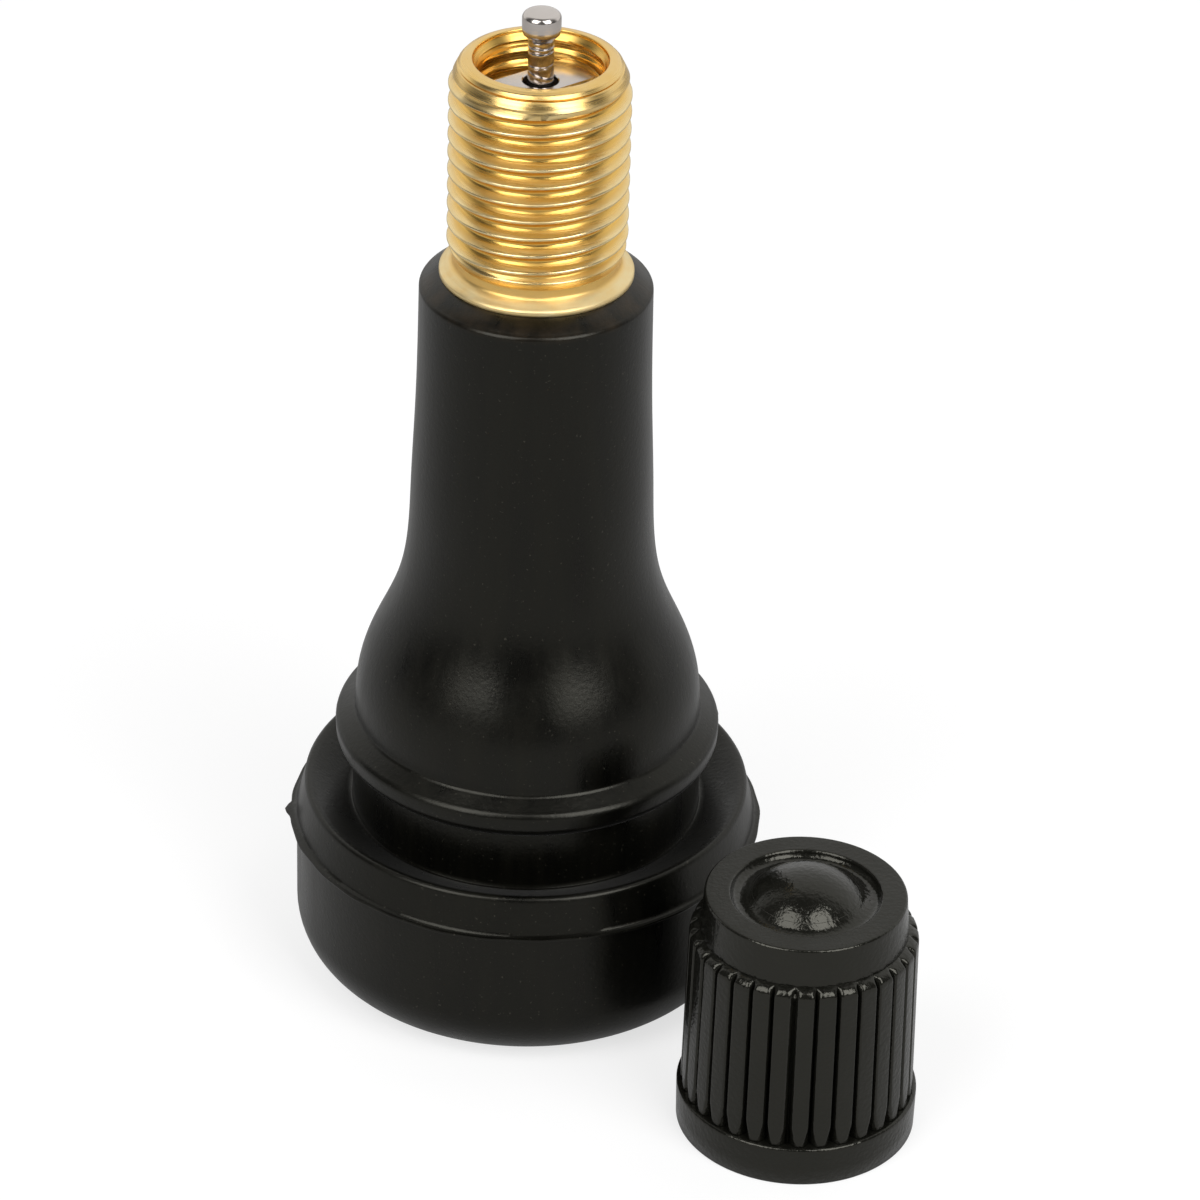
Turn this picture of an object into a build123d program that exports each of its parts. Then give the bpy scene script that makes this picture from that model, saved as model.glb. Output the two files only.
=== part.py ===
"""Snap-in tubeless tyre valve with its dust cap taken off and stood beside it, in millimetres.

The valve's axis is Z, with the flat of the rubber base on Z = 0.
"""
import os

from build123d import *

os.makedirs("parts", exist_ok=True)

# Brass stem, measured up from the flat of the base
stem_top = 44.3
thread_radius = 3.825
thread_top = stem_top - 0.7
thread_bottom = 35.95
lip_radius = 3.25
lip_step_radius = 3.72
lip_step_lean = 0.04
mouth_radius = 2.84
undercut_radius = 3.55
undercut_bottom = 35.3
collar_radius = 4.12
collar_bottom = 34.35
collar_edge = 0.38
shank_radius = 3.55
barb_depth = 0.35
barb_length = 4.0
barb_ramp = 0.6
lower_barb = 14.0
upper_barb = 24.0
foot_radius = 4.7
foot_bottom = 5.2
foot_height = 1.3
foot_flare = 1.6

# Core chamber inside the stem
chamber_radius = 2.65
chamber_floor = stem_top - 6.3
seat_top_radius = 2.2
seat_top = 37.1
seat_bottom = 34.9
air_radius = 1.75

# Rubber body
base_radius = 10.22
base_corner = 2.85
flash_height = 7.15
flash_reach = 0.27
flash_thickness = 0.14
lip_draft = 0.4
lip_height = 8.95
lip_land = 0.2
dish_radius = 8.0
dish_height = 8.2
groove_radius = 7.72
groove_top = 10.95
bead_radius = 8.5
bead_height = 0.9
bead_rise = 1.7
crease_radius = 7.62
crease_round = 0.22
neck_foot_radius = 5.45
neck_foot = 21.2
neck_top_radius = 4.97
neck_top = 33.62
neck_round = 0.22
neck_bevel = 0.15
air_inlet_radius = 2.2
air_inlet_round = 0.5

# Valve core
core_clearance = 0.05
bridge_drop = 1.0
bridge_width = 2.1
bridge_depth = 1.6
bridge_thickness = 0.9
bridge_turn = 38
pin_hole_radius = 0.75
plug_bore_radius = 1.5
plug_thread_bottom = 39.9
skirt_radius = 2.4
skirt_bottom = 38.25
crimp_top = 38.65
crimp_radius = 1.72
swivel_top = 40.15
swivel_radius = 2.1
swivel_play = 0.08
barrel_neck_radius = 1.6
gasket_inner_radius = 1.4
gasket_top = 36.9
gasket_bottom = 35.2
barrel_flange = 0.4
barrel_tube_radius = 1.3
barrel_bottom = 31.4
barrel_lip_radius = 1.0
spring_bore_radius = 1.0
spring_seat = 33.0
pin_guide_radius = 0.75

# Pin, plunger and spring
pin_radius = 0.55
pin_rise = 2.14
pin_head_radius = 0.82
pin_head_height = 0.95
pin_head_taper = 0.36
pin_head_round = 0.22
stop_radius = 0.85
stop_bottom = 39.2
stop_height = 0.4
cup_radius = 1.3
cup_bottom = 29.9
cup_wall = 0.22
cup_height = 1.1
seal_gap = 0.05
rivet_radius = 0.75
rivet_height = 0.3
wire_radius = 0.1
spring_radius = 0.78
spring_turns = 6

# Dust cap
cap_x = 12.18
cap_y = -12.55
cap_height = 11.6
cap_top_radius = 4.33
cap_top_round = 0.16
band_radius = 4.46
rib_top = 9.85
rib_top_radius = 4.9
rib_foot_radius = 5.03
rib_round = 0.4
rib_count = 32
rib_groove_width = 0.2
rib_groove_floor = 4.56
pocket_width = 0.56
pocket_height = 1.0
hem_radius = 5.2
hem_height = 1.87
hem_round = 0.12
recess_radius = 3.2
recess_depth = 0.45
dome_rise = 1.1
dome_foot_radius = recess_radius - 0.12
cap_thread_clearance = 0.075
cap_seal_face = 7.4
cap_seal_top = 8.2
cap_seal_radius = 3.5
cap_pocket_radius = 2.2
cap_pocket_top = 9.75
cap_lead_in = 0.35
seal_play = 0.05
seal_inner_radius = 1.9

# Sizes that follow from the ones above
plug_top = stem_top - bridge_drop
plug_radius = chamber_radius - core_clearance
foot_top = foot_bottom + foot_height
flash_radius = base_radius + flash_reach
lip_outer_radius = base_radius - lip_draft
bead_top = groove_top + bead_rise
crease_height = bead_top + crease_round
bell_flare = crease_radius - neck_foot_radius
bell_height = neck_foot - crease_height
neck_taper = neck_foot_radius - neck_top_radius
neck_height = neck_top - neck_foot
pin_top = stem_top + pin_rise
cap_bore_radius = thread_radius + cap_thread_clearance
dome_height = recess_depth + dome_rise
dome_radius = (dome_foot_radius ** 2 + dome_height ** 2) / (2 * dome_height)
cap_origin = (cap_x, cap_y, 0)
cap_side = Plane(origin=cap_origin, x_dir=(1, 0, 0), z_dir=(0, -1, 0))
cap_axis = Axis(cap_origin, (0, 0, 1))


# Turned outside of the stem, kept whole to shape the rubber round it
with BuildPart() as stem_blank:
    with BuildSketch(Plane.XZ):
        with BuildLine():
            Polyline(
                (0, foot_bottom),
                (foot_radius, foot_bottom),
                (foot_radius, foot_top),
                (shank_radius, foot_top + foot_flare),
                (shank_radius, lower_barb),
                (shank_radius - barb_depth, lower_barb + barb_ramp),
                (shank_radius - barb_depth, lower_barb + barb_length - barb_ramp),
                (shank_radius, lower_barb + barb_length),
                (shank_radius, upper_barb),
                (shank_radius - barb_depth, upper_barb + barb_ramp),
                (shank_radius - barb_depth, upper_barb + barb_length - barb_ramp),
                (shank_radius, upper_barb + barb_length),
                (shank_radius, collar_bottom),
                (collar_radius, collar_bottom),
                (collar_radius, collar_bottom + collar_edge),
                (collar_radius - 0.14, collar_bottom + collar_edge + 0.08),
            )
            ThreePointArc(
                (collar_radius - 0.14, collar_bottom + collar_edge + 0.08),
                (undercut_radius + 0.13, undercut_bottom - 0.24),
                (undercut_radius, undercut_bottom),
            )
            Polyline(
                (undercut_radius, undercut_bottom),
                (undercut_radius, thread_bottom - 0.3),
                (thread_radius, thread_bottom),
                (thread_radius, thread_top - 0.1),
                (lip_step_radius, thread_top),
                (lip_step_radius - lip_step_lean, stem_top - 0.5),
                (lip_radius, stem_top),
                (0, stem_top),
                (0, foot_bottom),
            )
        make_face()
    revolve(axis=Axis.Z)

# Brass stem with its core chamber and air way
with BuildPart() as brass_stem:
    add(stem_blank.part)
    with BuildSketch(Plane.XZ):
        with BuildLine():
            Polyline(
                (0, foot_bottom),
                (air_radius, foot_bottom),
                (air_radius, seat_bottom),
                (seat_top_radius, seat_top),
                (seat_top_radius, chamber_floor - 0.45),
                (chamber_radius, chamber_floor),
                (chamber_radius, stem_top - 0.4),
                (mouth_radius, stem_top - 0.15),
                (mouth_radius, stem_top),
                (0, stem_top),
                (0, foot_bottom),
            )
        make_face()
    revolve(axis=Axis.Z, mode=Mode.SUBTRACT)

# Bell and neck as shares of their height and of the radius they lose
bell_shape = ((0.214, 0.931), (0.398, 0.719), (0.58, 0.415), (0.76, 0.134))
bell_points = [(neck_foot_radius + bell_flare * r, crease_height + bell_height * h) for h, r in bell_shape]
neck_shape = ((0.242, 0.562), (0.564, 0.208))
neck_points = [(neck_top_radius + neck_taper * r, neck_foot + neck_height * h) for h, r in neck_shape]

# Rubber body moulded round the stem: base, dished flange, rim groove, bead, bell and neck
with BuildPart() as rubber_body:
    with BuildSketch(Plane.XZ):
        with BuildLine():
            Line((0, 0), (base_radius - base_corner, 0))
            RadiusArc((base_radius - base_corner, 0), (base_radius, base_corner), -base_corner)
            Polyline(
                (base_radius, base_corner),
                (base_radius, flash_height - flash_thickness),
                (flash_radius, flash_height - flash_thickness / 2),
                (flash_radius, flash_height + flash_thickness / 2),
                (base_radius, flash_height + flash_thickness),
                (lip_outer_radius + 0.04, lip_height - 0.12),
            )
            RadiusArc((lip_outer_radius + 0.04, lip_height - 0.12), (lip_outer_radius - lip_land, lip_height), -0.16)
            Line((lip_outer_radius - lip_land, lip_height), (dish_radius + 0.1, dish_height))
            ThreePointArc(
                (dish_radius + 0.1, dish_height),
                (groove_radius + 0.1, dish_height + 0.16),
                (groove_radius, dish_height + 0.55),
            )
            Line((groove_radius, dish_height + 0.55), (groove_radius, groove_top))
            ThreePointArc(
                (groove_radius, groove_top),
                (bead_radius, groove_top + bead_height),
                (crease_radius + crease_round, bead_top),
            )
            RadiusArc((crease_radius + crease_round, bead_top), (crease_radius, crease_height), crease_round)
            Spline(
                (crease_radius, crease_height),
                *bell_points,
                (neck_foot_radius, neck_foot),
                *neck_points,
                (neck_top_radius, neck_top),
                tangents=((0, 1), (-0.01, 1)),
            )
            RadiusArc((neck_top_radius, neck_top), (neck_top_radius - neck_bevel, neck_top + neck_round), -neck_round)
            Polyline(
                (neck_top_radius - neck_bevel, neck_top + neck_round),
                (collar_radius, collar_bottom),
                (0, collar_bottom),
                (0, 0),
            )
        make_face()
    revolve(axis=Axis.Z)
    add(stem_blank.part, mode=Mode.SUBTRACT)
    with Locations((0, 0, foot_bottom / 2)):
        Cylinder(air_inlet_radius, foot_bottom, mode=Mode.SUBTRACT)
    inlet_edge = rubber_body.edges().filter_by(GeomType.CIRCLE).group_by(Axis.Z)[0].sort_by(SortBy.RADIUS)[0]
    fillet(inlet_edge, radius=air_inlet_round)

# Core plug: screwed head with a cross bridge, turning freely on the barrel
with BuildPart() as core_plug:
    with BuildSketch(Plane.XZ):
        with BuildLine():
            Polyline(
                (pin_hole_radius, plug_top),
                (plug_radius - 0.15, plug_top),
                (plug_radius, plug_top - 0.15),
                (plug_radius, plug_thread_bottom),
                (skirt_radius, plug_thread_bottom - 0.2),
                (skirt_radius, skirt_bottom),
                (crimp_radius, skirt_bottom),
                (crimp_radius, crimp_top),
                (swivel_radius, crimp_top),
                (swivel_radius, swivel_top),
                (plug_bore_radius, swivel_top),
                (plug_bore_radius, plug_top - bridge_thickness),
                (pin_hole_radius, plug_top - bridge_thickness),
                (pin_hole_radius, plug_top),
            )
        make_face()
    revolve(axis=Axis.Z)
    with BuildSketch(Plane((0, 0, plug_top - bridge_depth)).rotated((0, 0, bridge_turn))):
        with Locations((0, bridge_width / 2 + plug_radius), (0, -bridge_width / 2 - plug_radius)):
            Rectangle(4 * plug_radius, 2 * plug_radius)
    extrude(amount=bridge_depth + 1, mode=Mode.SUBTRACT)

# Core barrel: head held in the plug, gasket seat, and the spring's tube with its sealing lip
with BuildPart() as core_barrel:
    with BuildSketch(Plane.XZ):
        with BuildLine():
            Polyline(
                (spring_bore_radius, swivel_top - swivel_play),
                (swivel_radius - swivel_play, swivel_top - swivel_play),
                (swivel_radius - swivel_play, crimp_top + swivel_play),
                (barrel_neck_radius, crimp_top + swivel_play),
                (barrel_neck_radius, gasket_top + barrel_flange),
                (seat_top_radius - 0.3, gasket_top + barrel_flange),
                (seat_top_radius - 0.3, gasket_top),
                (gasket_inner_radius, gasket_top),
                (gasket_inner_radius, gasket_bottom),
                (gasket_inner_radius + 0.15, gasket_bottom),
                (gasket_inner_radius + 0.15, gasket_bottom - 0.3),
                (barrel_tube_radius, gasket_bottom - 0.5),
                (barrel_tube_radius, barrel_bottom + 0.3),
                (barrel_lip_radius, barrel_bottom),
                (pin_guide_radius, barrel_bottom),
                (pin_guide_radius, spring_seat),
                (spring_bore_radius, spring_seat),
                (spring_bore_radius, swivel_top - swivel_play),
            )
        make_face()
    revolve(axis=Axis.Z)

# Tapered gasket that closes the barrel against the seat in the stem
seat_slope = (seat_top_radius - air_radius) / (seat_top - seat_bottom)
gasket_top_radius = air_radius + seat_slope * (gasket_top - seat_bottom) - core_clearance
gasket_bottom_radius = air_radius + seat_slope * (gasket_bottom - seat_bottom) - core_clearance
with BuildPart() as barrel_gasket:
    with BuildSketch(Plane.XZ):
        with BuildLine():
            Polyline(
                (gasket_inner_radius, gasket_bottom),
                (gasket_bottom_radius, gasket_bottom),
                (gasket_top_radius, gasket_top),
                (gasket_inner_radius, gasket_top),
                (gasket_inner_radius, gasket_bottom),
            )
        make_face()
    revolve(axis=Axis.Z)

# Pin with its button head, swaged spring stop and riveted tail
with BuildPart() as core_pin:
    with BuildSketch(Plane.XZ):
        with BuildLine():
            Polyline(
                (0, cup_bottom - rivet_height),
                (rivet_radius - 0.2, cup_bottom - rivet_height),
                (rivet_radius, cup_bottom),
                (pin_radius, cup_bottom),
                (pin_radius, stop_bottom),
                (stop_radius, stop_bottom),
                (stop_radius, stop_bottom + stop_height / 2),
                (pin_radius, stop_bottom + stop_height),
                (pin_radius, pin_top - pin_head_height - pin_head_taper),
                (pin_head_radius, pin_top - pin_head_height),
                (pin_head_radius, pin_top - pin_head_round),
            )
            RadiusArc(
                (pin_head_radius, pin_top - pin_head_round),
                (pin_head_radius - pin_head_round, pin_top),
                -pin_head_round,
            )
            Polyline(
                (pin_head_radius - pin_head_round, pin_top),
                (0, pin_top),
                (0, cup_bottom - rivet_height),
            )
        make_face()
    revolve(axis=Axis.Z)

# Cup riveted to the pin's tail
with BuildPart() as plunger_cup:
    with BuildSketch(Plane.XZ):
        with BuildLine():
            Polyline(
                (pin_radius, cup_bottom),
                (cup_radius - 0.15, cup_bottom),
                (cup_radius, cup_bottom + 0.15),
                (cup_radius, cup_bottom + cup_height),
                (cup_radius - cup_wall, cup_bottom + cup_height),
                (cup_radius - cup_wall, cup_bottom + cup_wall),
                (pin_radius, cup_bottom + cup_wall),
                (pin_radius, cup_bottom),
            )
        make_face()
    revolve(axis=Axis.Z)

# Rubber washer in the cup, just under the barrel's lip
seal_height = barrel_bottom - seal_gap - cup_bottom - cup_wall
with BuildPart() as plunger_seal:
    with Locations((0, 0, cup_bottom + cup_wall + seal_height / 2)):
        Cylinder(cup_radius - cup_wall, seal_height)
        Cylinder(pin_radius, seal_height, mode=Mode.SUBTRACT)

# Coil spring between the barrel's seat and the pin's stop
spring_height = stop_bottom - spring_seat - 2 * wire_radius - 0.04
with BuildPart() as core_spring:
    with BuildLine(Plane.XY.offset(spring_seat + wire_radius + 0.02)) as coil:
        Helix(pitch=spring_height / spring_turns, height=spring_height, radius=spring_radius)
    with BuildSketch(Plane(origin=coil.line @ 0, z_dir=coil.line % 0)):
        Circle(wire_radius)
    sweep(path=coil.line, is_frenet=True)

# One cutter for the groove between two ribs, flaring to a pocket at its foot
with BuildPart() as rib_groove:
    with BuildSketch(Plane(origin=(rib_groove_floor, 0, hem_height), x_dir=(0, 1, 0), z_dir=(1, 0, 0))):
        with BuildLine():
            Polyline(
                (-pocket_width / 2, 0),
                (pocket_width / 2, 0),
                (rib_groove_width / 2, pocket_height),
                (rib_groove_width / 2, rib_top - hem_height + 0.1),
                (-rib_groove_width / 2, rib_top - hem_height + 0.1),
                (-rib_groove_width / 2, pocket_height),
                (-pocket_width / 2, 0),
            )
        make_face()
    extrude(amount=1)

# Dust cap: plain band, ribbed grip and hem outside, dome in the top, threaded hole below
with BuildPart() as cap_shell:
    with BuildSketch(cap_side):
        with BuildLine():
            Polyline(
                (0, 0),
                (hem_radius - 0.03, 0),
                (hem_radius, hem_height - hem_round),
            )
            RadiusArc((hem_radius, hem_height - hem_round), (hem_radius - hem_round, hem_height), -hem_round)
            Polyline(
                (hem_radius - hem_round, hem_height),
                (rib_foot_radius, hem_height),
                (rib_top_radius, rib_top - rib_round),
            )
            RadiusArc((rib_top_radius, rib_top - rib_round), (band_radius, rib_top), -rib_round - 0.05)
            Polyline(
                (band_radius, rib_top),
                (cap_top_radius, cap_height - cap_top_round),
            )
            RadiusArc(
                (cap_top_radius, cap_height - cap_top_round),
                (cap_top_radius - cap_top_round, cap_height),
                -cap_top_round,
            )
            Polyline(
                (cap_top_radius - cap_top_round, cap_height),
                (recess_radius, cap_height),
                (dome_foot_radius, cap_height - recess_depth),
            )
            RadiusArc((dome_foot_radius, cap_height - recess_depth), (0, cap_height + dome_rise), -dome_radius)
            Line((0, cap_height + dome_rise), (0, 0))
        make_face()
    revolve(axis=cap_axis)
    with Locations(cap_origin):
        with PolarLocations(0, rib_count, start_angle=180 / rib_count):
            add(rib_groove.part, mode=Mode.SUBTRACT)
    with BuildSketch(cap_side):
        with BuildLine():
            Polyline(
                (0, 0),
                (cap_bore_radius + cap_lead_in, 0),
                (cap_bore_radius, cap_lead_in),
                (cap_bore_radius, cap_seal_face),
                (cap_seal_radius, cap_seal_face),
                (cap_seal_radius, cap_seal_top),
                (cap_pocket_radius, cap_seal_top),
                (cap_pocket_radius, cap_pocket_top - 0.3),
                (cap_pocket_radius - 0.3, cap_pocket_top),
                (0, cap_pocket_top),
                (0, 0),
            )
        make_face()
    revolve(axis=cap_axis, mode=Mode.SUBTRACT)

# Sealing ring at the end of the cap's thread
with BuildPart() as cap_gasket:
    with Locations((cap_x, cap_y, (cap_seal_face + cap_seal_top) / 2)):
        Cylinder(cap_seal_radius - seal_play, cap_seal_top - cap_seal_face)
        Cylinder(seal_inner_radius, cap_seal_top - cap_seal_face, mode=Mode.SUBTRACT)

rubber_body.part.label = "rubber_body"
brass_stem.part.label = "brass_stem"
core_plug.part.label = "core_plug"
core_barrel.part.label = "core_barrel"
barrel_gasket.part.label = "barrel_gasket"
core_pin.part.label = "core_pin"
plunger_cup.part.label = "plunger_cup"
plunger_seal.part.label = "plunger_seal"
core_spring.part.label = "core_spring"
cap_shell.part.label = "cap_shell"
cap_gasket.part.label = "cap_gasket"

export_step(rubber_body.part, "parts/rubber_body.step")
export_step(brass_stem.part, "parts/brass_stem.step")
export_step(core_plug.part, "parts/core_plug.step")
export_step(core_barrel.part, "parts/core_barrel.step")
export_step(barrel_gasket.part, "parts/barrel_gasket.step")
export_step(core_pin.part, "parts/core_pin.step")
export_step(plunger_cup.part, "parts/plunger_cup.step")
export_step(plunger_seal.part, "parts/plunger_seal.step")
export_step(core_spring.part, "parts/core_spring.step")
export_step(cap_shell.part, "parts/cap_shell.step")
export_step(cap_gasket.part, "parts/cap_gasket.step")
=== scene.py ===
"""Looks of the snap-in tubeless tyre valve and its dust cap: fine shapes, materials, light and camera."""

import math

import bpy
import numpy as np
from mathutils import Matrix, Vector


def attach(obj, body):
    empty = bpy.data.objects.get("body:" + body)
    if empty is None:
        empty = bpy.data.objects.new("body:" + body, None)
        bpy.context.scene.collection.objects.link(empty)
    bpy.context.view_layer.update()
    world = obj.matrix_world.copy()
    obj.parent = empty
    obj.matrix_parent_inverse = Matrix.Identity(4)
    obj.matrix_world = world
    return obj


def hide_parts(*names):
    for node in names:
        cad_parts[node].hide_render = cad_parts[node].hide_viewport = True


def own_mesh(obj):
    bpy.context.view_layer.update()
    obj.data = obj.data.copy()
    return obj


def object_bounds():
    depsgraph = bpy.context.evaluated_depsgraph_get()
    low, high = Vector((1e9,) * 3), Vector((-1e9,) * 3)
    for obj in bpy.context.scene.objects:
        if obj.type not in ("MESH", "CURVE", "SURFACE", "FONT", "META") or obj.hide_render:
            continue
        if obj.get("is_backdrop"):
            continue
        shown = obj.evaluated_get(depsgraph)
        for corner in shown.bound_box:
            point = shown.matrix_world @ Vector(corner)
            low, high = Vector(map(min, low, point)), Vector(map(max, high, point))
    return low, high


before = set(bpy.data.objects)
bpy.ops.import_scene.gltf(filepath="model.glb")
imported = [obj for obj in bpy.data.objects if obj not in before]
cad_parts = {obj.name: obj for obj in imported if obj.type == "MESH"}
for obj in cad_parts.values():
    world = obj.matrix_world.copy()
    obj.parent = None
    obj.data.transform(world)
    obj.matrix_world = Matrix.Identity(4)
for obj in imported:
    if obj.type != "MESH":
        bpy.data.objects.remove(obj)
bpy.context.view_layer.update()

# Sizes of the part are in millimetres, and MM turns them into metres
MM = 0.001
TURN = 2 * math.pi
THREAD_CREST = 0.10


# Shapes

def between(start, end, step):
    """Points from start to end, no more than step apart, without the end."""
    count = max(1, math.ceil(math.dist(start, end) / step))
    return [tuple(np.add(start, np.subtract(end, start) * k / count)) for k in range(count)]


def path(points, step):
    """The polyline through points, cut into short lengths, with its last point."""
    out = []
    for start, end in zip(points, points[1:]):
        out += between(start, end, step)
    return out + [points[-1]]


def arc(start, middle, end, count):
    """Points on the circle through three points, with both ends."""
    (ax, ay), (bx, by), (cx, cy) = start, middle, end
    d = 2 * (ax * (by - cy) + bx * (cy - ay) + cx * (ay - by))
    a2, b2, c2 = ax * ax + ay * ay, bx * bx + by * by, cx * cx + cy * cy
    ox = (a2 * (by - cy) + b2 * (cy - ay) + c2 * (ay - by)) / d
    oy = (a2 * (cx - bx) + b2 * (ax - cx) + c2 * (bx - ax)) / d
    radius = math.hypot(ax - ox, ay - oy)
    first = math.atan2(ay - oy, ax - ox)
    via = (math.atan2(by - oy, bx - ox) - first) % TURN
    last = (math.atan2(cy - oy, cx - ox) - first) % TURN
    if via > last:
        last -= TURN
    angles = [first + last * k / count for k in range(count + 1)]
    return [(ox + radius * math.cos(t), oy + radius * math.sin(t)) for t in angles]


def corner(start, end, centre, count):
    """Points on a quarter round from start to end about a centre, with both ends."""
    first = math.atan2(start[1] - centre[1], start[0] - centre[0])
    last = math.atan2(end[1] - centre[1], end[0] - centre[0])
    last = first + (last - first + math.pi) % TURN - math.pi
    near, far = math.dist(start, centre), math.dist(end, centre)
    out = []
    for k in range(count + 1):
        t = first + (last - first) * k / count
        r = near + (far - near) * k / count
        out.append((centre[0] + r * math.cos(t), centre[1] + r * math.sin(t)))
    return out


def spline(points, first, last, count):
    """Smooth curve through points that leaves along first and arrives along last."""
    p = np.array(points, float)
    n = len(p)
    u = np.concatenate(([0], np.cumsum(np.linalg.norm(np.diff(p, axis=0), axis=1))))
    h = np.diff(u)
    a = np.zeros((n, n))
    b = np.zeros((n, 2))
    a[0, 0] = a[-1, -1] = 1
    b[0], b[-1] = first, last
    for k in range(1, n - 1):
        a[k, k - 1], a[k, k], a[k, k + 1] = h[k], 2 * (h[k - 1] + h[k]), h[k - 1]
        slopes = (p[k] - p[k - 1]) / h[k - 1] * h[k] + (p[k + 1] - p[k]) / h[k] * h[k - 1]
        b[k] = 3 * slopes
    m = np.linalg.solve(a, b)
    out = []
    for t in np.linspace(0, u[-1], count + 1):
        k = min(int(np.searchsorted(u, t, side="right")) - 1, n - 2)
        s = (t - u[k]) / h[k]
        q = p[k] * (1 + 2 * s) * (1 - s) ** 2 + m[k] * h[k] * s * (1 - s) ** 2
        q = q + p[k + 1] * s * s * (3 - 2 * s) + m[k + 1] * h[k] * s * s * (s - 1)
        out.append((float(q[0]), float(q[1])))
    return out


def ramp(x):
    """0 below 0, 1 above 1, and an even curve between."""
    x = np.clip(x, 0, 1)
    return x * x * (3 - 2 * x)


def uneven(angle, seed, waves):
    """A wavy line round the axis, about 1 high, the same at every run."""
    rng = np.random.default_rng(seed)
    out = np.zeros_like(angle)
    for wave in waves:
        out += rng.uniform(0.4, 1.0) * np.sin(wave * angle + rng.uniform(0, TURN))
    return out / math.sqrt(len(waves))


def thread_cut(z, angle, pitch, start):
    """How far a right-hand thread is cut, from 0 on its narrow crest to 1 at its rounded root."""
    turn = (z - start) / pitch - angle / TURN
    off = 2 * np.abs(turn - np.round(turn))
    return np.sin(math.pi / 2 * np.clip((off - THREAD_CREST) / (1 - THREAD_CREST), 0, 1))


def shell(radius, height, angle, loop=False, ends=(True, True), centre=(0, 0), inside=False):
    """Points in millimetres and faces from rows of radii and heights, each row a ring of columns.
    A loop joins its last row to its first. Other shells may be closed by a point at each end.
    The faces look outwards, or towards the axis of an inside shell."""
    rows, columns = radius.shape
    x = centre[0] + radius * np.cos(angle)
    y = centre[1] + radius * np.sin(angle)
    points = np.stack([x, y, height], axis=2).reshape(-1, 3)
    ids = np.arange(rows * columns).reshape(rows, columns)
    upper = np.vstack([ids[1:], ids[:1]]) if loop else ids[1:]
    lower = ids if loop else ids[:-1]
    quads = np.stack([lower, np.roll(lower, -1, 1), np.roll(upper, -1, 1), upper], axis=2).reshape(-1, 4)
    corners = points[quads]
    spans = np.cross(corners[:, 2] - corners[:, 0], corners[:, 3] - corners[:, 1])
    volume = np.einsum("ij,ij->", corners.mean(axis=1), spans)
    faces = quads.tolist()
    for row, wanted in ((0, ends[0]), (rows - 1, ends[1])):
        if wanted and not loop:
            points = np.vstack([points, [[*centre, height[row].mean()]]])
            ring = ids[row] if row == 0 else ids[row][::-1]
            faces += [[len(points) - 1, int(far), int(near)] for near, far in zip(ring, np.roll(ring, -1))]
    if (volume < 0) != inside:
        faces = [face[::-1] for face in faces]
    return points, faces


def make_mesh(name, points, faces):
    """An object from points in metres and faces."""
    mesh = bpy.data.meshes.new(name)
    mesh.from_pydata(points.tolist(), [], faces)
    mesh.update()
    item = bpy.data.objects.new(name, mesh)
    bpy.context.scene.collection.objects.link(item)
    return item


def smooth(item, angle):
    """Shades an object smooth, with sharp edges over an angle in degrees."""
    item.data.shade_smooth()
    item.data.set_sharp_from_angle(angle=math.radians(angle))


def turned(name, *shells, sharp=45):
    """One smooth object from one or more shells."""
    points, faces = [], []
    for spots, sides in shells:
        start = sum(len(part) for part in points)
        points.append(spots)
        faces += [[start + k for k in side] for side in sides]
    item = make_mesh(name, np.vstack(points) * MM, faces)
    smooth(item, sharp)
    return item


def spread(rows, columns):
    """Radii and heights of a list of points, repeated over the columns."""
    p = np.array(rows, float)
    return np.repeat(p[:, :1], columns, 1), np.repeat(p[:, 1:], columns, 1)


# Brass stem with its cap thread outside and core thread inside
STEM_COLUMNS = 160
stem_top = 44.3
stem_pitch, stem_start = 0.794, 35.62
thread_radius, thread_depth = 3.825, 0.40
thread_low, thread_high = 35.55, 43.8
run_in, run_out = 0.5, 0.4
core_pitch, core_start = 0.7056, 38.2
core_radius, core_depth = 2.65, 0.30
core_low, core_run_in = 38.1, 0.6
mouth_loss, mouth_start, mouth_fade = 0.16, 42.2, 0.8
mark_depth, mark_pitch = 0.02, 0.26
stem_rows = path([(1.75, 5.2), (4.7, 5.2), (4.7, 6.5), (3.55, 8.1)], 3)
stem_rows += path([(3.55, 14.0), (3.2, 14.6), (3.2, 17.4)], 3)
stem_rows += path([(3.55, 18.0), (3.55, 24.0), (3.2, 24.6), (3.2, 27.4)], 4)
stem_rows += path([(3.55, 28.0), (3.55, 34.35)], 4)
stem_rows += path([(4.10, 34.35), (4.13, 34.38), (4.13, 34.54), (4.10, 34.59), (3.70, 34.84)], 0.1)
stem_rows += arc((3.68, 34.855), (3.59, 34.93), (3.55, 35.06), 6)
stem_rows += [(3.55, 35.3)]
outer_first = len(stem_rows)
stem_rows += path([(3.55, 35.32), (thread_radius, 35.9), (thread_radius, 43.2), (3.78, 43.3)], 0.024)
stem_rows += path([(3.70, 43.52), (3.57, 43.8), (3.47, 43.97)], 0.036)
outer_last = len(stem_rows)
stem_rows += path([(3.33, 43.99), (3.33, 44.02), (3.44, 44.06)], 0.04)
stem_rows += path([(3.44, 44.06), (3.31, 44.2), (3.12, 44.28), (2.95, stem_top)], 0.04)[1:]
stem_rows += path([(2.87, stem_top), (2.84, 44.27), (2.84, 44.15), (core_radius, 43.9)], 0.08)
inner_first = len(stem_rows)
stem_rows += path([(core_radius, 43.88), (core_radius, 38.0)], 0.06)
inner_last = len(stem_rows)
stem_rows += path([(2.2, 37.55), (2.2, 37.1), (1.75, 34.9)], 1)
angle = np.linspace(0, TURN, STEM_COLUMNS, endpoint=False)[None, :]
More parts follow.
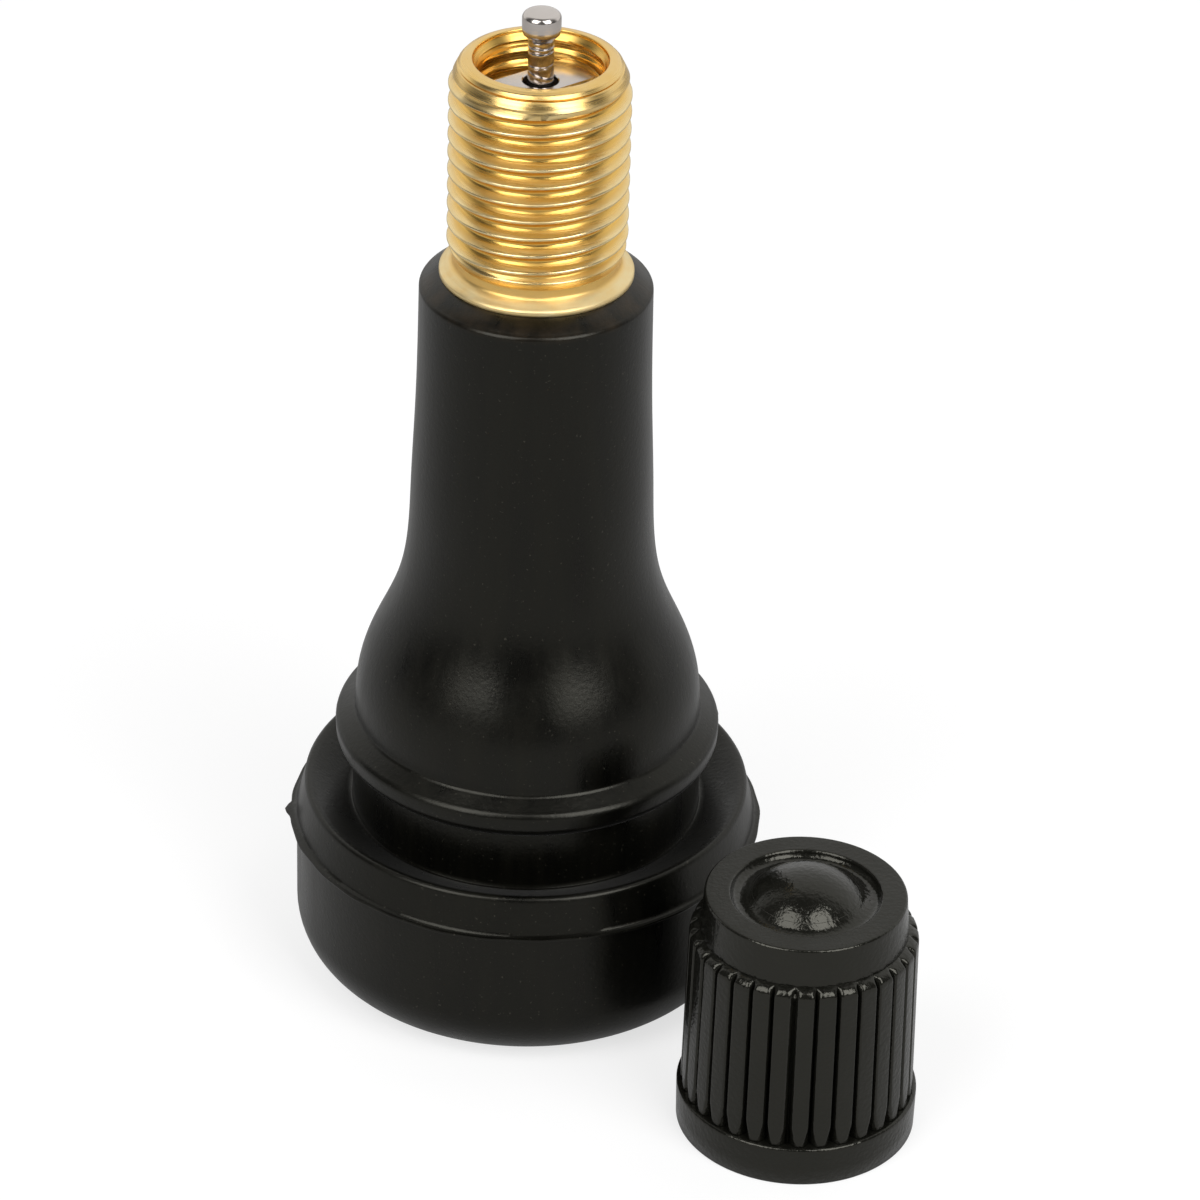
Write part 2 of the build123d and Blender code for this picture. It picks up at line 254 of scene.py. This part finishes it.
r, z = spread(stem_rows, STEM_COLUMNS)
band = slice(outer_first, outer_last)
cut = thread_cut(z[band], angle, stem_pitch, stem_start)
cut *= ramp((z[band] - thread_low) / run_in) * ramp((thread_high - z[band]) / run_out)
r[band] = np.minimum(r[band], thread_radius - thread_depth * cut)
band = slice(inner_first, inner_last)
cut = thread_cut(z[band], angle, core_pitch, core_start)
cut *= core_depth - mouth_loss * ramp((z[band] - mouth_start) / mouth_fade)
r[band] += cut * ramp((z[band] - core_low) / core_run_in)
r[band] += mark_depth * np.sin(z[band] * TURN / mark_pitch)
stem = turned("stem", shell(r, z, angle, loop=True), sharp=80)

# Rubber body with a chipped bead, and the mould's flash line with one torn tab
RUBBER_COLUMNS = 240
base_radius, base_round = 10.22, 2.85
flash_reach, flash_wave, flash_sway = 0.27, 0.05, 0.04
tab_angle, tab_half_width, tab_reach, tab_power = 183.2, 3.0, 0.28, 0.6
groove_radius = 7.72
chip_height, chip_spread, chip_depth = 11.95, 0.16, 0.05
chip_floor, chip_fade = 0.5, 0.6
bell = [(7.62, 12.87), (7.47, 14.66), (7.01, 16.18), (6.33, 17.70), (5.77, 19.20)]
neck = [(5.24, 24.2), (5.07, 28.2), (4.97, 33.62)]
rubber_rows = corner((2.7, 0), (2.2, 0.5), (2.7, 0.5), 5)[::-1]
round_middle = (base_radius - base_round, base_round)
rubber_rows += path([(3.2, 0), (round_middle[0], 0)], 1.2)
rubber_rows += corner((round_middle[0], 0), (base_radius, base_round), round_middle, 20)[1:]
rubber_rows += path([(base_radius, 3.2), (base_radius, 6.9)], 0.3)
flash_first = len(rubber_rows)
rubber_rows += path([(base_radius, 7.0), (10.38, 7.07), (10.48, 7.1), (10.49, 7.15)], 0.05)
rubber_rows += path([(10.47, 7.2), (10.34, 7.22)], 0.05)
flash_last = len(rubber_rows)
rubber_rows += path([(base_radius, 7.29), (9.86, 8.83)], 0.12)
rubber_rows += corner((9.86, 8.83), (9.62, 8.95), (9.66, 8.78), 5)[1:]
rubber_rows += path([(9.58, 8.945), (7.83, 8.07), (7.76, 8.08), (groove_radius, 8.16)], 0.2)
rubber_rows += path([(groove_radius, 8.3), (groove_radius, 10.93)], 0.25)
bead_first = len(rubber_rows)
rubber_rows += arc((groove_radius, 10.95), (8.2, 11.16), (8.46, 11.6), 10)
rubber_rows += arc((8.48, 12.02), (8.42, 12.24), (8.27, 12.37), 8)
rubber_rows += path([(8.2, 12.415), (7.64, 12.78)], 0.12)
bead_last = len(rubber_rows)
rubber_rows += spline(bell + neck, (0, 1), (-0.01, 1), 110)
rubber_rows += corner((4.97, 33.62), (4.82, 33.84), (4.75, 33.62), 5)[1:]
rubber_rows += path([(4.78, 33.87), (4.12, 34.35), (3.5, 34.35), (3.5, 28.0)], 2.5)
rubber_rows += path([(3.6, 18.0), (3.6, 8.1), (4.75, 6.5)], 2.5)
rubber_rows += [(4.75, 5.25), (2.2, 5.2), (2.2, 3.0)]
angle = np.linspace(0, TURN, RUBBER_COLUMNS, endpoint=False)[None, :]
r, z = spread(rubber_rows, RUBBER_COLUMNS)
band = slice(flash_first, flash_last)
reach = np.clip((r[band] - base_radius) / flash_reach, 0, 1)
tab = np.clip(1 - np.abs(np.degrees(angle) - tab_angle) / tab_half_width, 0, 1) ** tab_power
r[band] += reach * (flash_wave * uneven(angle, 3, (2, 3, 7, 13, 29)) + tab_reach * tab)
z[band] += flash_sway * uneven(angle, 5, (2, 5, 9))
band = slice(bead_first, bead_last)
front = ramp((-np.sin(angle) + chip_fade) / chip_fade)
chip = np.clip(uneven(angle, 8, (23, 41, 57, 71)) - chip_floor, 0, 1) * front
r[band] += chip_depth * chip * np.exp(-((z[band] - chip_height) / chip_spread) ** 2)
rubber = turned("rubber", shell(r, z, angle, loop=True), sharp=50)

# Dust cap: dome, rim, plain band, ribs with rounded tops and pointed feet, hem and inner thread
RIBS = 32
PARTING = (-95.625, 84.375)
BORE_COLUMNS = 120
cap_place = (12.18, -12.55)
rib_foot, rib_top = 1.87, 9.85
rib_radius, rib_taper, rib_round = 4.9, 0.13, 0.4
band_foot, band_radius, valley_radius = 4.455, 4.46, 4.56
valley_half, valley_slope, seam_extra = 0.12, 1.2, 0.09
top_flare, top_length = 0.24, 0.45
foot_flare, foot_length = 0.20, 1.0
fin_share, fin_half, fin_drop = 0.7, 0.045, 0.3
hem_radius = 5.2
cap_bore, cap_seat = 3.9, 7.4
cap_thread_depth, cap_thread_start, cap_thread_low = 0.28, 0.2, 0.3
marks = np.array([0, 0.03, 0.06, 0.09, 0.12, 0.15, 0.19, 0.23, 0.27, 0.31, 0.36, 0.43])
marks = np.concatenate((-marks[:0:-1], marks, [0.5]))
angle = ((np.arange(RIBS)[:, None] + 0.5 + marks[None, :]) * TURN / RIBS).reshape(1, -1)
across = np.abs(np.tile(marks, RIBS))[None, :] * TURN / RIBS
rim_height = 11.6
dome_rise, dome_radius, dome_edge = 1.0, 3.15, 2.42
dome_middle = rim_height + dome_rise - dome_radius
dome_steps = np.linspace(0.05, dome_edge, 16)
cap_rows = [(x, dome_middle + math.sqrt(dome_radius ** 2 - x * x)) for x in dome_steps]
moat = [cap_rows[-1], (2.7, 11.29), (2.93, 11.25), (3.13, 11.36), (3.2, 11.5)]
cap_rows += spline(moat, (0.64, -0.77), (0.2, 1), 16)[1:]
cap_rows += [(3.23, 11.57), (3.28, rim_height)]
cap_rows += path([(3.34, rim_height), (4.21, rim_height)], 0.3)
cap_rows += corner((4.21, rim_height), (4.33, 11.48), (4.21, 11.48), 6)[1:]
cap_rows += path([(4.34, 11.3), (band_foot, 9.95)], 0.35)
rib_first = len(cap_rows)
drops = (-0.05, -0.01, 0.03, 0.08, 0.14, 0.21, 0.29, 0.4, 0.55, 0.85)
lifts = (1.2, 1.05, 0.9, 0.75, 0.6, 0.48, 0.36, 0.26, 0.17, 0.1, 0.04)
cap_rows += [(band_radius, rib_top - drop) for drop in drops]
cap_rows += [(valley_radius, height) for height in np.arange(8.5, 3.3, -0.65)]
cap_rows += [(valley_radius, rib_foot + lift) for lift in lifts]
rib_last = len(cap_rows)
cap_rows += path([(4.6, rib_foot), (5.05, rib_foot)], 0.15)
cap_rows += corner((5.08, rib_foot), (hem_radius, 1.75), (5.08, 1.75), 5)
cap_rows += path([(hem_radius, 1.6), (5.17, 0.06), (5.12, 0.0), (4.6, 0.0)], 0.8)
r, z = spread(cap_rows, angle.shape[1])
band = slice(rib_first, rib_last)
high = z[band]
rib_face = rib_radius + rib_taper * (rib_top - high) / (rib_top - rib_foot)
fall = np.clip((high - rib_top + rib_round) / rib_round, 0, 1)
rib_face = band_radius + (rib_face - band_radius) * np.sqrt(1 - fall ** 2)
groove_floor = np.minimum(np.where(high > rib_top, band_foot, valley_radius), rib_face)
parting = np.zeros_like(angle)
for seam in PARTING:
    off = np.degrees(angle) - seam
    parting += np.abs(off - 360 * np.round(off / 360)) < 180 / RIBS
half = valley_half + seam_extra * parting
half = half + top_flare * np.clip((high - rib_top + top_length) / top_length, 0, 1) ** 2
half += foot_flare * np.clip((rib_foot + foot_length - high) / foot_length, 0, 1)
gap = across * rib_radius
rise = 1 - (1 - np.clip(gap / (valley_slope * half), 0, 1)) ** 2
fin = parting * fin_share * np.exp(-(gap / fin_half) ** 2) * (high < rib_top - fin_drop)
r[band] = groove_floor + (rib_face - groove_floor) * np.maximum(rise, fin)
outside = shell(r, z, angle, ends=(True, False), centre=cap_place)
bore_rows = path([(4.6, 0.0), (4.25, 0.0)], 0.5)
bore_first = len(bore_rows)
bore_rows += path([(4.22, 0.03), (cap_bore, 0.35), (cap_bore, cap_seat)], 0.11)
bore_last = len(bore_rows)
bore_rows += path([(3.5, cap_seat), (3.5, 8.2), (2.2, 8.2), (2.2, 9.45), (1.9, 9.75), (0.05, 9.75)], 1.5)
angle = np.linspace(0, TURN, BORE_COLUMNS, endpoint=False)[None, :]
r, z = spread(bore_rows, BORE_COLUMNS)
band = slice(bore_first, bore_last)
cut = thread_cut(z[band], angle, stem_pitch, cap_thread_start)
cut *= ramp((z[band] - cap_thread_low) / run_in) * ramp((cap_seat - z[band]) / run_out)
r[band] += cap_thread_depth * cut
bore = shell(r, z, angle, ends=(False, True), centre=cap_place, inside=True)
cap = turned("cap", outside, bore, sharp=55)

# Core plug: threaded head, cut away on both sides to leave the cross bridge
PLUG_COLUMNS = 120
plug_radius, plug_thread_depth, plug_thread_low = 2.6, 0.26, 39.9
bridge_half, bridge_angle, bridge_floor = 1.05, 38, 41.7
cutter_half, cutter_top = 4.0, 45.0
plug_rows = path([(0.75, 43.26), (0.79, 43.3), (2.42, 43.3), (2.5, 43.26)], 0.4)
plug_first = len(plug_rows)
plug_rows += path([(plug_radius, 43.15), (plug_radius, plug_thread_low)], 0.06)
plug_last = len(plug_rows)
plug_rows += path([(2.4, 39.7), (2.4, 38.25), (1.72, 38.25)], 1)
plug_rows += path([(1.72, 38.65), (2.1, 38.65), (2.1, 40.15)], 1)
plug_rows += path([(1.5, 40.15), (1.5, 42.4), (0.75, 42.4)], 1)
angle = np.linspace(0, TURN, PLUG_COLUMNS, endpoint=False)[None, :]
r, z = spread(plug_rows, PLUG_COLUMNS)
band = slice(plug_first, plug_last)
cut = thread_cut(z[band], angle, core_pitch, core_start)
r[band] -= plug_thread_depth * cut * ramp((z[band] - plug_thread_low) / run_out)
plug = turned("plug", shell(r, z, angle, loop=True), sharp=40)
bridge_turn = Matrix.Rotation(math.radians(bridge_angle), 4, "Z")
cutter_sides = (-cutter_half, cutter_half)
cutter_heights = (bridge_floor, cutter_top)
for span in ((-cutter_half, -bridge_half), (bridge_half, cutter_half)):
    spots = [(x, y, h) for x in cutter_sides for y in span for h in cutter_heights]
    spots = np.array([bridge_turn @ Vector(spot) for spot in spots]) * MM
    sides = [[0, 1, 3, 2], [4, 6, 7, 5], [0, 4, 5, 1], [2, 3, 7, 6], [0, 2, 6, 4], [1, 5, 7, 3]]
    cutter = make_mesh("cutter", spots, sides)
    trim = plug.modifiers.new("trim", "BOOLEAN")
    trim.operation = "DIFFERENCE"
    trim.solver = "EXACT"
    trim.object = cutter
    bpy.context.view_layer.update()
    shaped = bpy.data.meshes.new_from_object(plug.evaluated_get(bpy.context.evaluated_depsgraph_get()))
    plug.modifiers.clear()
    plug.data = shaped
    bpy.data.objects.remove(cutter)
smooth(plug, 40)

# Pin with its button head, turning marks, spring stop and riveted tail
PIN_COLUMNS = 64
pin_radius, head_radius, stop_height = 0.55, 0.82, 39.2
ring_depth, ring_width = 0.03, 0.05
pin_rows = path([(0.05, 29.6), (pin_radius, 29.6), (0.75, 29.9)], 1)
pin_rows += path([(pin_radius, 29.9), (pin_radius, stop_height)], 1)
pin_rows += path([(0.85, stop_height), (0.85, 39.4), (pin_radius, 39.6), (pin_radius, 41.5)], 1)
mark_first = len(pin_rows)
pin_rows += path([(pin_radius, 41.6), (pin_radius, 45.12)], 0.03)
mark_last = len(pin_rows)
pin_rows += arc((pin_radius, 45.13), (0.63, 45.3), (0.78, 45.46), 6)
pin_rows += path([(0.815, 45.56), (head_radius, 46.1)], 0.2)
pin_rows += corner((head_radius, 46.14), (0.54, 46.41), (0.54, 46.14), 9)[1:]
pin_rows += path([(0.45, 46.425), (0.05, 46.44)], 0.2)
angle = np.linspace(0, TURN, PIN_COLUMNS, endpoint=False)[None, :]
r, z = spread(pin_rows, PIN_COLUMNS)
band = slice(mark_first, mark_last)
for height, lean in ((44.95, 0.02), (44.72, 0.03), (44.05, 0.04), (43.6, -0.16)):
    ring = z[band] - height - lean * np.cos(angle)
    r[band] -= ring_depth * np.exp(-(ring / ring_width) ** 2)
pin = turned("pin", shell(r, z, angle), sharp=40)

# Spring between the barrel's seat and the pin's stop
WIRE_SIDES, TURN_STEPS = 10, 32
spring_seat, spring_play = 33.0, 0.02
coil_radius, wire_radius, coil_turns = 0.78, 0.1, 6
coil_low = spring_seat + spring_play + wire_radius
coil_rise = stop_height - spring_play - wire_radius - coil_low
pitch_angle = math.atan2(coil_rise / coil_turns, TURN * coil_radius)
sweep = np.linspace(0, TURN * coil_turns, TURN_STEPS * coil_turns + 1)[:, None]
around = np.linspace(0, TURN, WIRE_SIDES, endpoint=False)[None, :]
reach = coil_radius + wire_radius * np.cos(around)
along = wire_radius * np.sin(around) * math.sin(pitch_angle)
x = reach * np.cos(sweep) + along * np.sin(sweep)
y = reach * np.sin(sweep) - along * np.cos(sweep)
rise = coil_low + coil_rise * sweep / sweep[-1] + wire_radius * np.sin(around) * math.cos(pitch_angle)
spots = np.stack(np.broadcast_arrays(x, y, rise), axis=2).reshape(-1, 3)
ids = np.arange(len(spots)).reshape(-1, WIRE_SIDES)
next_ids = np.roll(ids, -1, 1)
sides = np.stack([ids[:-1], ids[1:], next_ids[1:], next_ids[:-1]], axis=2).reshape(-1, 4).tolist()
sides += [ids[0].tolist(), ids[-1][::-1].tolist()]
spring = turned("spring", (spots, sides), sharp=60)


# Materials

class Shader:
    """A procedural material in millimetres of the object's own space."""

    def __init__(self, name):
        self.material = bpy.data.materials.new(name)
        self.material.use_nodes = True
        self.tree = self.material.node_tree
        self.principled = self.tree.nodes["Principled BSDF"]
        self.space = self.tree.nodes.new("ShaderNodeTexCoord").outputs["Object"]

    def node(self, kind, inputs=(), **settings):
        made = self.tree.nodes.new(kind)
        for key, value in settings.items():
            setattr(made, key, value)
        for key, value in dict(inputs).items():
            self.put(made.inputs[key], value)
        return made

    def put(self, socket, value):
        if isinstance(value, bpy.types.NodeSocket):
            self.tree.links.new(value, socket)
        else:
            socket.default_value = value

    def noise(self, stretch, detail=3.0, roughness=0.55, place=(0, 0, 0)):
        """Noise between 0 and 1, with this many features to the millimetre along X, Y and Z."""
        scale = [1000 * s for s in stretch]
        spot = self.node("ShaderNodeMapping", {"Vector": self.space, "Scale": scale, "Location": place})
        inputs = {"Vector": spot.outputs[0], "Scale": 1.0, "Detail": detail, "Roughness": roughness}
        return self.node("ShaderNodeTexNoise", inputs).outputs[0]

    def place(self):
        """Distance from the axis and height, in metres."""
        split = self.node("ShaderNodeSeparateXYZ", {"Vector": self.space}).outputs
        squares = [self.math("MULTIPLY", split[k], split[k]) for k in (0, 1)]
        return self.math("POWER", self.math("ADD", *squares), 0.5), split[2]

    def fit(self, value, low, high, start, end):
        """A value from low to high turned into one from start to end, and held there."""
        inputs = {"Value": value, "From Min": low, "From Max": high, "To Min": start, "To Max": end}
        return self.node("ShaderNodeMapRange", inputs).outputs[0]

    def math(self, operation, a, b):
        made = self.node("ShaderNodeMath", operation=operation)
        self.put(made.inputs[0], a)
        self.put(made.inputs[1], b)
        return made.outputs[0]

    def away(self, value, middle):
        """How far a value lies from a middle, on either side."""
        return self.math("ABSOLUTE", self.math("SUBTRACT", value, middle), 0)

    def mix(self, share, a, b):
        made = self.node("ShaderNodeMix", data_type="RGBA")
        self.put(made.inputs[0], share)
        self.put(made.inputs[6], a)
        self.put(made.inputs[7], b)
        return made.outputs[2]

    def bump(self, height, strength, distance):
        inputs = {"Height": height, "Strength": strength, "Distance": distance * MM}
        self.put(self.principled.inputs["Normal"], self.node("ShaderNodeBump", inputs).outputs[0])

    def set(self, **values):
        for key, value in values.items():
            self.put(self.principled.inputs[key.replace("_", " ")], value)


def shade(red, green, blue):
    """A colour from its three shares."""
    return (red, green, blue, 1.0)


WARM = shade(1.0, 0.98, 0.86)

# Crests, lip and collar are painted paler, partly as rubbed wear and partly as a painted highlight, and
# the grooves and the mouth keep a darker tarnish
brass = Shader("brass")
streak = brass.noise((0.25, 0.25, 9.0), 3.0, 0.6)
cloud = brass.noise((0.9, 0.9, 1.6), 3.0)
distance, height = brass.place()
# The paler tone on the crests, lip and collar is part wear and part painted highlight
pale_wear_and_highlight = brass.fit(distance, 3.50 * MM, 3.81 * MM, 0, 1)
lip = brass.fit(height, 43.3 * MM, 43.8 * MM, 0, 0.40)
collar = brass.fit(height, 35.5 * MM, 35.1 * MM, 0, 0.25)
ends = brass.math("MAXIMUM", lip, collar)
outside = brass.fit(distance, 2.84 * MM, 2.88 * MM, 0, 1)
pale_wear_and_highlight = brass.math("MAXIMUM", pale_wear_and_highlight, brass.math("MULTIPLY", ends, outside))
pale_wear_and_highlight = brass.math("MULTIPLY", pale_wear_and_highlight, brass.fit(cloud, 0.3, 0.6, 0.55, 1.0))
tone = brass.mix(pale_wear_and_highlight, shade(0.88, 0.55, 0.14), shade(0.93, 0.76, 0.42))
worn = brass.fit(height, 35.4 * MM, 35.0 * MM, 0, 0.16)
brass.set(Base_Color=tone, Metallic=1.0)
brass.set(Roughness=brass.math("ADD", brass.fit(streak, 0.3, 0.7, 0.16, 0.40), worn))
brass.bump(streak, 0.6, 0.02)

nickel = Shader("nickel")
streak = nickel.noise((0.6, 0.6, 12.0), 2.0)
tone = nickel.mix(streak, shade(0.58, 0.53, 0.49), shade(0.70, 0.65, 0.61))
nickel.set(Base_Color=tone, Metallic=1.0, Roughness=nickel.fit(streak, 0.3, 0.7, 0.14, 0.26))
nickel.bump(streak, 0.15, 0.01)

# Rubber with paler wiped streaks, pale specks and a brown stain on its top edge, round the stem
black_rubber = Shader("black_rubber")
wipe = black_rubber.noise((0.9, 0.9, 0.12), 4.0, 0.6)
grain = black_rubber.noise((5.0, 5.0, 5.0), 3.0, 0.6)
wiped = black_rubber.fit(wipe, 0.35, 0.7, 0, 1)
tone = black_rubber.mix(wiped, shade(0.0006, 0.0006, 0.0004), shade(0.0026, 0.0024, 0.0014))
height = black_rubber.place()[1]
stain = black_rubber.math("MULTIPLY", black_rubber.fit(height, 33.5 * MM, 33.9 * MM, 0, 1), wiped)
tone = black_rubber.mix(stain, tone, shade(0.020, 0.013, 0.007))
specks = black_rubber.fit(black_rubber.noise((7.0, 7.0, 7.0), 1.0), 0.70, 0.80, 0, 1)
tone = black_rubber.mix(specks, tone, shade(0.030, 0.028, 0.022))
black_rubber.set(Base_Color=tone, Roughness=black_rubber.fit(wipe, 0.3, 0.7, 0.26, 0.35))
black_rubber.set(Specular_IOR_Level=0.33, Specular_Tint=WARM, Sheen_Weight=0.06, Sheen_Roughness=0.3)
black_rubber.bump(grain, 0.3, 0.03)

# Cap plastic with an uneven gloss, dull on the flat rim
black_plastic = Shader("black_plastic")
peel = black_plastic.noise((5.0, 5.0, 5.0), 2.0, 0.5)
patch = black_plastic.noise((0.7, 0.7, 0.7), 2.0, 0.5)
tone = black_plastic.mix(patch, shade(0.005, 0.005, 0.0039), shade(0.008, 0.0079, 0.0062))
top = black_plastic.away(black_plastic.place()[1], rim_height * MM)
top = black_plastic.fit(top, 0.004 * MM, 0.012 * MM, 0.36, 0)
gloss = black_plastic.fit(patch, 0.3, 0.7, 0.13, 0.20)
black_plastic.set(Base_Color=tone, Roughness=black_plastic.math("ADD", gloss, top))
black_plastic.set(Specular_IOR_Level=0.45, Specular_Tint=WARM)
black_plastic.bump(peel, 0.5, 0.05)

plain_brass = Shader("plain_brass")
streak = plain_brass.noise((0.4, 0.4, 6.0))
tone = plain_brass.mix(streak, shade(0.76, 0.56, 0.25), shade(0.82, 0.64, 0.33))
plain_brass.set(Base_Color=tone, Metallic=1.0, Roughness=plain_brass.fit(streak, 0.3, 0.7, 0.25, 0.38))

red_plastic = Shader("red_plastic")
cloud = red_plastic.noise((2.0, 2.0, 2.0))
tone = red_plastic.mix(cloud, shade(0.42, 0.05, 0.03), shade(0.52, 0.08, 0.05))
red_plastic.set(Base_Color=tone, Roughness=red_plastic.fit(cloud, 0.3, 0.7, 0.4, 0.55))

soft_rubber = Shader("soft_rubber")
cloud = soft_rubber.noise((3.0, 3.0, 3.0))
tone = soft_rubber.mix(cloud, shade(0.014, 0.014, 0.014), shade(0.026, 0.025, 0.024))
soft_rubber.set(Base_Color=tone, Roughness=soft_rubber.fit(cloud, 0.3, 0.7, 0.55, 0.7))

spring_wire = Shader("spring_wire")
cloud = spring_wire.noise((4.0, 4.0, 4.0))
tone = spring_wire.mix(cloud, shade(0.50, 0.50, 0.50), shade(0.66, 0.66, 0.65))
spring_wire.set(Base_Color=tone, Metallic=1.0, Roughness=spring_wire.fit(cloud, 0.3, 0.7, 0.25, 0.4))


# Pieces

def piece(item, body, node, shader):
    """Puts a fine shape in the place of its CAD node."""
    item.data.materials.clear()
    item.data.materials.append(shader.material)
    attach(item, body)
    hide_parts(node)


def coat(node, shader):
    """Gives a CAD node its material."""
    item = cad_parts[node]
    item.data.materials.clear()
    item.data.materials.append(shader.material)


piece(stem, "valve", "brass_stem", brass)
piece(rubber, "valve", "rubber_body", black_rubber)
piece(cap, "valve", "cap_shell", black_plastic)
piece(plug, "plug", "core_plug", nickel)
piece(pin, "plunger", "core_pin", nickel)
piece(spring, "barrel", "core_spring", spring_wire)
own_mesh(spring)
coat("core_barrel", plain_brass)
coat("barrel_gasket", red_plastic)
coat("plunger_cup", plain_brass)
coat("plunger_seal", soft_rubber)
coat("cap_gasket", soft_rubber)


# Floor, light and camera

def wire(tree, operation, a, b):
    """A math node on two values or sockets."""
    made = tree.nodes.new("ShaderNodeMath")
    made.operation = operation
    for socket, value in zip(made.inputs, (a, b)):
        if isinstance(value, bpy.types.NodeSocket):
            tree.links.new(value, socket)
        else:
            socket.default_value = value
    return made.outputs[0]


def seen(tree, mirror_share):
    """1 for what the camera looks at, a share of it in mirrors and clear things, 0 for other light."""
    rays = tree.nodes.new("ShaderNodeLightPath")
    mirrored = wire(tree, "MAXIMUM", rays.outputs["Is Glossy Ray"], rays.outputs["Is Transmission Ray"])
    mirrored = wire(tree, "MULTIPLY", mirrored, mirror_share)
    return wire(tree, "MAXIMUM", rays.outputs["Is Camera Ray"], mirrored)


# Lengths of the floor and the lamps are in metres
FLOOR_HALF, FLOOR_SHADE, FLOOR_GLOW, FLOOR_MIRROR = 1.5, 0.34, 0.70, 0.25
ROOM_LEVEL, ROOM_MIRROR, PAPER_LEVEL, PAPER_EDGE, PAPER_LEAN = 0.03, 0.08, 0.85, 0.36, 0.12
LAMP_ELEVATION, LAMP_DISTANCE, LAMP_WIDTH, LAMP_HEIGHT = 40, 0.6, 0.34, 0.54
LAMP_AIM = Vector((0.003, 0, 0.02))
corners = np.array([(-1, -1, 0), (1, -1, 0), (1, 1, 0), (-1, 1, 0)]) * FLOOR_HALF
ground = make_mesh("ground", corners, [[0, 1, 2, 3]])
ground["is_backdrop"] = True
paper = bpy.data.materials.new("paper")
paper.use_nodes = True
tree = paper.node_tree
tree.nodes.remove(tree.nodes["Principled BSDF"])
matt = tree.nodes.new("ShaderNodeBsdfDiffuse")
matt.inputs["Color"].default_value = shade(FLOOR_SHADE, FLOOR_SHADE, FLOOR_SHADE)
glow = tree.nodes.new("ShaderNodeEmission")
tree.links.new(wire(tree, "MULTIPLY", seen(tree, FLOOR_MIRROR), FLOOR_GLOW), glow.inputs["Strength"])
both = tree.nodes.new("ShaderNodeAddShader")
tree.links.new(matt.outputs[0], both.inputs[0])
tree.links.new(glow.outputs[0], both.inputs[1])
tree.links.new(both.outputs[0], tree.nodes["Material Output"].inputs["Surface"])
ground.data.materials.append(paper)

# White paper behind the object, a dim room in front
world = bpy.data.worlds.new("studio")
bpy.context.scene.world = world
world.use_nodes = True
tree = world.node_tree
backdrop = tree.nodes["Background"]
sides = tree.nodes.new("ShaderNodeSeparateXYZ")
tree.links.new(tree.nodes.new("ShaderNodeTexCoord").outputs["Generated"], sides.inputs[0])
level = tree.nodes.new("ShaderNodeMapRange")
lean = wire(tree, "MULTIPLY", sides.outputs["X"], PAPER_LEAN)
tree.links.new(wire(tree, "ADD", sides.outputs["Y"], lean), level.inputs["Value"])
level.inputs["From Min"].default_value = 0.0
level.inputs["From Max"].default_value = PAPER_EDGE
level.inputs["To Min"].default_value = ROOM_LEVEL
level.inputs["To Max"].default_value = PAPER_LEVEL
strength = wire(tree, "MAXIMUM", seen(tree, ROOM_MIRROR), level.outputs[0])
tree.links.new(strength, backdrop.inputs["Strength"])
backdrop.inputs["Color"].default_value = (1, 1, 1, 1)


def lamp(name, azimuth, power):
    """A soft box aimed at the valve. Azimuth 0 is the camera's side, and rises to the right."""
    a, e = math.radians(azimuth), math.radians(LAMP_ELEVATION)
    back = Vector((math.sin(a) * math.cos(e), -math.cos(a) * math.cos(e), math.sin(e)))
    light = bpy.data.lights.new(name, "AREA")
    light.shape = "RECTANGLE"
    light.size, light.size_y = LAMP_WIDTH, LAMP_HEIGHT
    light.energy = power
    item = bpy.data.objects.new(name, light)
    item.location = LAMP_AIM + back * LAMP_DISTANCE
    item.rotation_mode = "QUATERNION"
    item.rotation_quaternion = (-back).to_track_quat("-Z", "Y")
    bpy.context.scene.collection.objects.link(item)


lamp("left_box", azimuth=-40, power=2.2)
lamp("right_box", azimuth=40, power=2.6)

# The photo's camera, fitted to its outline
CAMERA_ELEVATION, CAMERA_ROLL = 31.515724, 1.652952
CAMERA_EYE = Vector((3.07607, -205.10930, 143.93072)) * MM
SENSOR_WIDTH, FOCAL_LENGTH = 36, 165
elevation, roll = math.radians(CAMERA_ELEVATION), math.radians(CAMERA_ROLL)
back = Vector((0, -math.cos(elevation), math.sin(elevation)))
level_right = Vector((1, 0, 0))
level_up = Vector((0, math.sin(elevation), math.cos(elevation)))
right = math.cos(roll) * level_right + math.sin(roll) * level_up
up = -math.sin(roll) * level_right + math.cos(roll) * level_up
lens = bpy.data.cameras.new("photo_camera")
lens.sensor_width = SENSOR_WIDTH
lens.lens = FOCAL_LENGTH
lens.clip_start = 0.01
lens.clip_end = 10
camera = bpy.data.objects.new("photo_camera", lens)
camera.matrix_world = Matrix.Translation(CAMERA_EYE) @ Matrix((right, up, back)).transposed().to_4x4()
bpy.context.scene.collection.objects.link(camera)
bpy.context.scene.camera = camera
bpy.context.scene.view_settings.view_transform = "Standard"

low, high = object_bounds()
